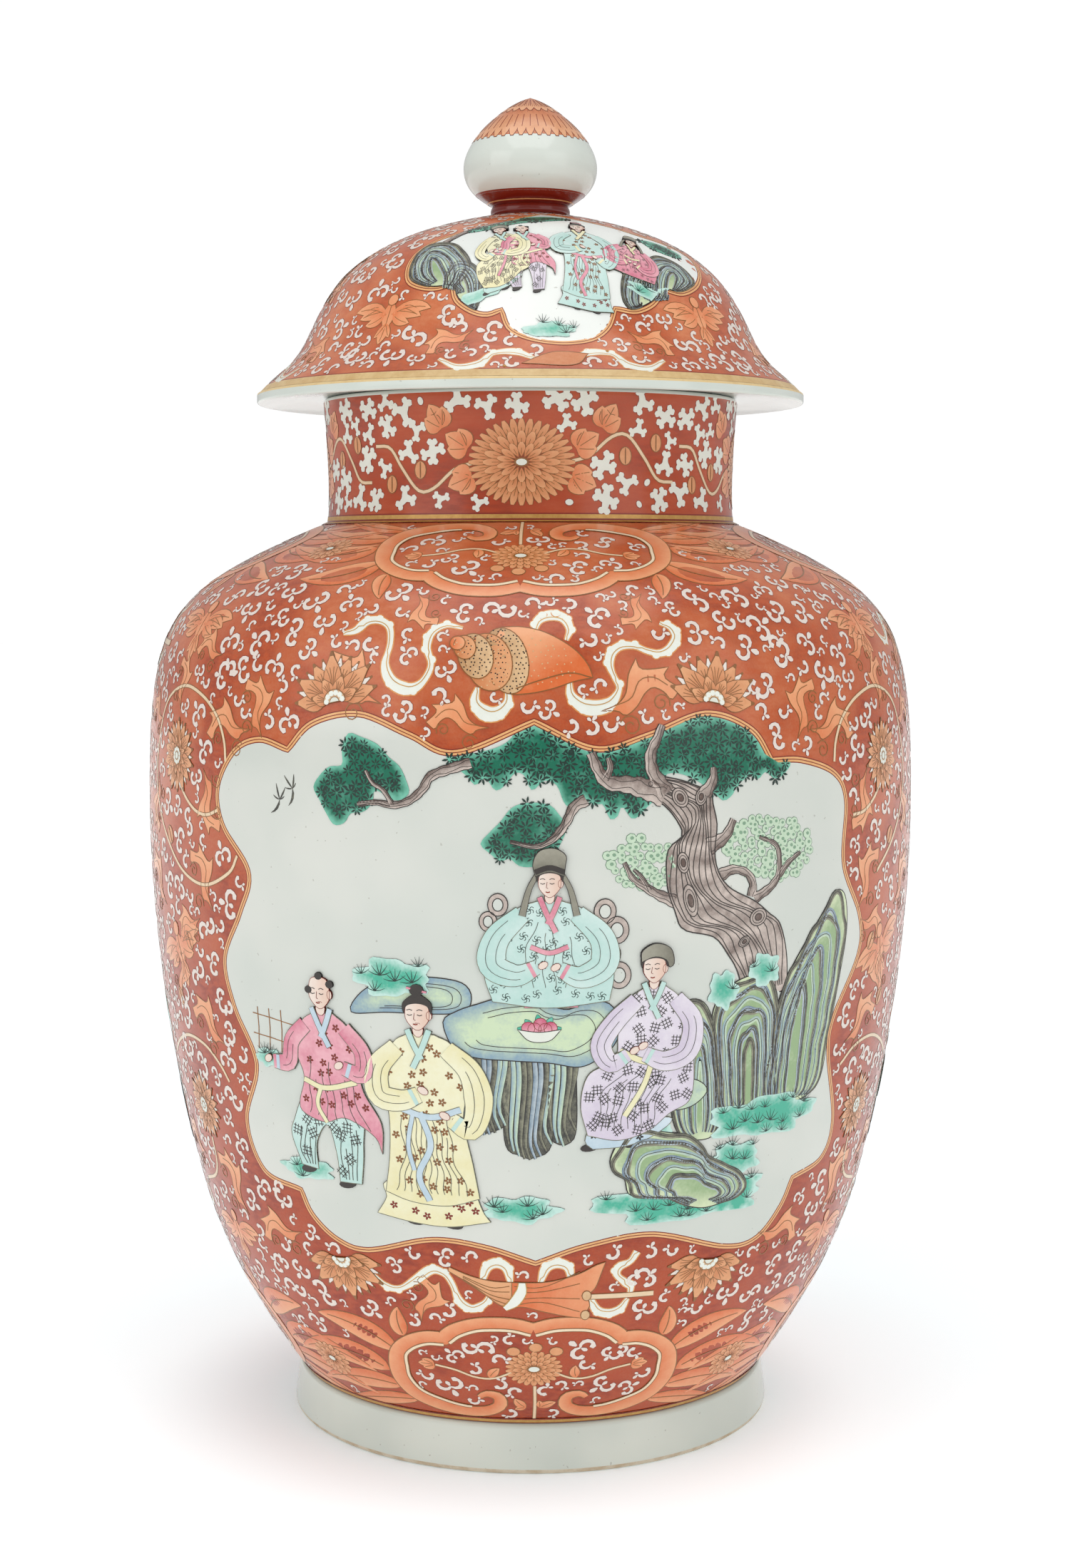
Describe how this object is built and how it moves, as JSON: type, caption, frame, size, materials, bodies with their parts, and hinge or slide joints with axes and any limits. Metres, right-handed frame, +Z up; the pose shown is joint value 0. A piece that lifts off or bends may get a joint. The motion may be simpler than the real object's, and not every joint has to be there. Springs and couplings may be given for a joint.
{
  "type": "lidded porcelain jar",
  "caption": "Tall shouldered porcelain jar on a turned foot, with a short neck and a domed lift-off cover with a bud knop, painted coral around reserved white garden panels.",
  "frame": {"origin": "on the ground at the centre of the foot ring", "axes": "+Z up along the jar's axis, -Y towards the main panel at the front"},
  "size_m": [0.3606, 0.3606, 0.62],
  "materials": {
    "coral_ground": "glossy glaze under a brushed coral iron-red enamel ground",
    "white_glaze": "glossy white glaze with a faint blue-green tint",
    "iron_red": "dense dark iron-red enamel, glossy",
    "bare_biscuit": "unglazed fired body, matt and slightly rough"
  },
  "bodies": {
    "jar": {"foot_ring": "white_glaze", "base_floor": "white_glaze", "lower_body": "coral_ground", "upper_body": "coral_ground", "neck": "coral_ground"},
    "cover": {"cover_dome": "coral_ground", "cover_collar": "bare_biscuit", "knop_stem": "iron_red", "knop_bud": "white_glaze"}
  },
  "joints": [
    {"name": "cover_lift", "type": "slide", "parent": "jar", "child": "cover", "axis": [0, 0, 1], "range_m": [0, 0.25]}
  ]
}
